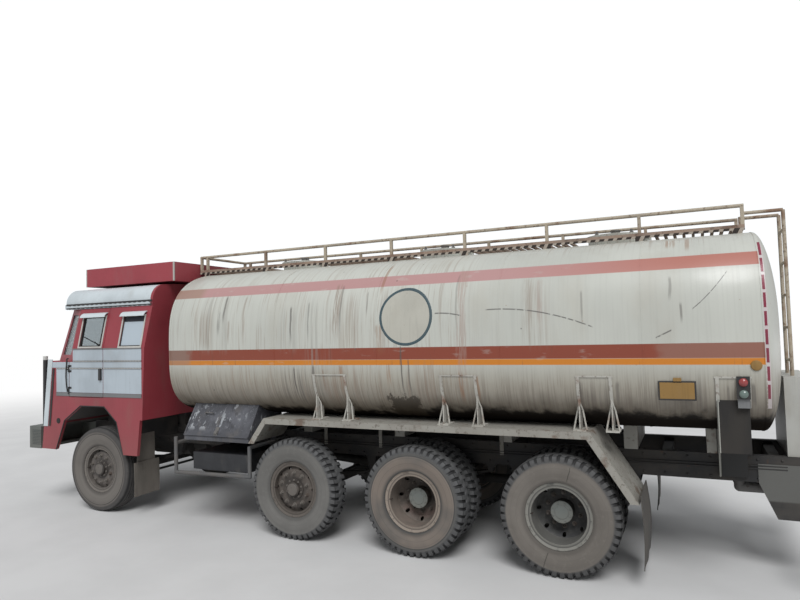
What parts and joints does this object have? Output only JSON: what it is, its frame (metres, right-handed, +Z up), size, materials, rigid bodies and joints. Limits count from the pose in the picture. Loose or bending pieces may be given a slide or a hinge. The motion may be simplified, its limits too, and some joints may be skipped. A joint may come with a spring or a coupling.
{
  "type": "four-axle tanker truck",
  "caption": "Rigid fuel tanker truck with a square cab, oval road tank, roof walkway with railings, twin rear wheels and hinged doors and lids.",
  "frame": {"origin": "on the ground, in the middle of the truck's length and width", "axes": "+X towards the cab, +Y to the truck's left, +Z up"},
  "size_m": [9.12, 2.492, 3.217],
  "materials": {
    "tank_paint": "worn off-white gloss",
    "cab_red": "dull red enamel",
    "roof_white": "worn white enamel",
    "cab_inner": "matt dark",
    "glass": "tinted, dusty",
    "seat_cloth": "worn vinyl",
    "bumper_grey": "dusty grey-green",
    "lamp_lens": "moulded lens",
    "rail_cream": "cream paint, rusty",
    "cabinet_white": "worn white",
    "flap_rubber": "dusty rubber",
    "guard_grey": "dusty grey",
    "toolbox_black": "scratched black",
    "tank_metal": "dusty dark grey",
    "steel": "dirty steel",
    "frame_black": "dusty black",
    "rim_paint": "dusty brown-grey",
    "tyre": "dusty rubber"
  },
  "bodies": {
    "chassis": {"air_tanks": "frame_black", "bumper": "bumper_grey", "cab_back": "cab_red", "cab_floor": "cab_inner", "cab_front": "cab_red", "cab_glass": "glass", "cab_roof": "roof_white", "cab_sides": "cab_red", "cabinet": "cabinet_white", "chassis_frame": "frame_black", "dashboard": "cab_inner", "driveline": "frame_black", "engine": "frame_black", "exhaust": "frame_black", "front_axle": "frame_black", "fuel_tank": "tank_metal", "ladder": "rail_cream", "lamps": "lamp_lens", "leaf_springs": "frame_black", "manhole_collars": "tank_paint", "mudflaps": "flap_rubber", "mudguards": "guard_grey", "outlet_pipes": "steel", "railings": "rail_cream", "rear_axles": "frame_black", "rear_bumper": "frame_black", "roof_box": "cab_red", "seat_cushions": "seat_cloth", "side_guards": "guard_grey", "tank": "tank_paint", "tank_mounts": "tank_paint", "toolbox": "toolbox_black", "walkway": "rail_cream"},
    "front_wheel_left": {"front_rim_left": "rim_paint", "front_tyre_left": "tyre"},
    "front_wheel_right": {"front_rim_right": "rim_paint", "front_tyre_right": "tyre"},
    "second_wheel_left": {"second_rim_left": "rim_paint", "second_tyre_left": "tyre"},
    "second_wheel_right": {"second_rim_right": "rim_paint", "second_tyre_right": "tyre"},
    "third_wheel_left": {"third_rim_left": "rim_paint", "third_tyre_left": "tyre"},
    "third_wheel_right": {"third_rim_right": "rim_paint", "third_tyre_right": "tyre"},
    "fourth_wheel_left": {"fourth_rim_left": "rim_paint", "fourth_tyre_left": "tyre"},
    "fourth_wheel_right": {"fourth_rim_right": "rim_paint", "fourth_tyre_right": "tyre"},
    "knuckle_left": {"knuckle_left": "frame_black"},
    "knuckle_right": {"knuckle_right": "frame_black"},
    "tie_rod": {"tie_rod": "frame_black"},
    "door_left": {"door_left": "cab_red"},
    "door_right": {"door_right": "cab_red"},
    "manhole_lid_1": {"manhole_lid_1": "tank_paint"},
    "manhole_lid_2": {"manhole_lid_2": "tank_paint"},
    "manhole_lid_3": {"manhole_lid_3": "tank_paint"},
    "toolbox_lid": {"toolbox_lid": "toolbox_black"},
    "cabinet_door": {"cabinet_door": "cabinet_white"}
  },
  "joints": [
    {"name": "front_wheel_left_spin", "type": "hinge", "parent": "knuckle_left", "child": "front_wheel_left", "pos_m": [3.29, 1.0225, 0.5275], "axis": [0, 1, 0], "continuous": true},
    {"name": "front_wheel_right_spin", "type": "hinge", "parent": "knuckle_right", "child": "front_wheel_right", "pos_m": [3.29, -1.0225, 0.5275], "axis": [0, 1, 0], "continuous": true},
    {"name": "second_wheel_left_spin", "type": "hinge", "parent": "chassis", "child": "second_wheel_left", "pos_m": [0.32, 1.05, 0.5275], "axis": [0, 1, 0], "continuous": true},
    {"name": "second_wheel_right_spin", "type": "hinge", "parent": "chassis", "child": "second_wheel_right", "pos_m": [0.32, -1.05, 0.5275], "axis": [0, 1, 0], "continuous": true},
    {"name": "third_wheel_left_spin", "type": "hinge", "parent": "chassis", "child": "third_wheel_left", "pos_m": [-1.07, 1.0625, 0.5275], "axis": [0, 1, 0], "continuous": true},
    {"name": "third_wheel_right_spin", "type": "hinge", "parent": "chassis", "child": "third_wheel_right", "pos_m": [-1.07, -1.0625, 0.5275], "axis": [0, 1, 0], "continuous": true},
    {"name": "fourth_wheel_left_spin", "type": "hinge", "parent": "chassis", "child": "fourth_wheel_left", "pos_m": [-2.46, 1.0625, 0.5275], "axis": [0, 1, 0], "continuous": true},
    {"name": "fourth_wheel_right_spin", "type": "hinge", "parent": "chassis", "child": "fourth_wheel_right", "pos_m": [-2.46, -1.0625, 0.5275], "axis": [0, 1, 0], "continuous": true},
    {"name": "steer_left", "type": "hinge", "parent": "chassis", "child": "knuckle_left", "pos_m": [3.29, 0.86, 0.5275], "axis": [0, 0, 1], "range_deg": [-36, 36]},
    {"name": "steer_right", "type": "hinge", "parent": "chassis", "child": "knuckle_right", "pos_m": [3.29, -0.86, 0.5275], "axis": [0, 0, 1], "range_deg": [-36, 36]},
    {"name": "tie_rod_swing", "type": "hinge", "parent": "knuckle_left", "child": "tie_rod", "pos_m": [3.09, 0.86, 0.385], "axis": [0, 0, 1], "range_deg": [-36, 36]},
    {"name": "door_left_hinge", "type": "hinge", "parent": "chassis", "child": "door_left", "pos_m": [3.743, 1.231, 1.66], "axis": [0, 0, -1], "range_deg": [0, 70]},
    {"name": "door_right_hinge", "type": "hinge", "parent": "chassis", "child": "door_right", "pos_m": [3.743, -1.231, 1.66], "axis": [0, 0, 1], "range_deg": [0, 70]},
    {"name": "manhole_lid_1_hinge", "type": "hinge", "parent": "chassis", "child": "manhole_lid_1", "pos_m": [0.566, 0, 3.064], "axis": [0, -1, 0], "range_deg": [0, 105]},
    {"name": "manhole_lid_2_hinge", "type": "hinge", "parent": "chassis", "child": "manhole_lid_2", "pos_m": [-1.364, 0, 3.064], "axis": [0, -1, 0], "range_deg": [0, 105]},
    {"name": "manhole_lid_3_hinge", "type": "hinge", "parent": "chassis", "child": "manhole_lid_3", "pos_m": [-3.234, 0, 3.064], "axis": [0, -1, 0], "range_deg": [0, 105]},
    {"name": "toolbox_lid_hinge", "type": "hinge", "parent": "chassis", "child": "toolbox_lid", "pos_m": [1.335, 0.94749, 1.46493], "axis": [1, 0, 0], "range_deg": [0, 75]},
    {"name": "cabinet_door_hinge", "type": "hinge", "parent": "chassis", "child": "cabinet_door", "pos_m": [-4.484, 0.431, 1.35], "axis": [0, 0, -1], "range_deg": [0, 110]}
  ],
  "couplings": [
    {"joint": "steer_right", "follows": "steer_left", "ratio": 1},
    {"joint": "tie_rod_swing", "follows": "steer_left", "ratio": -1}
  ]
}
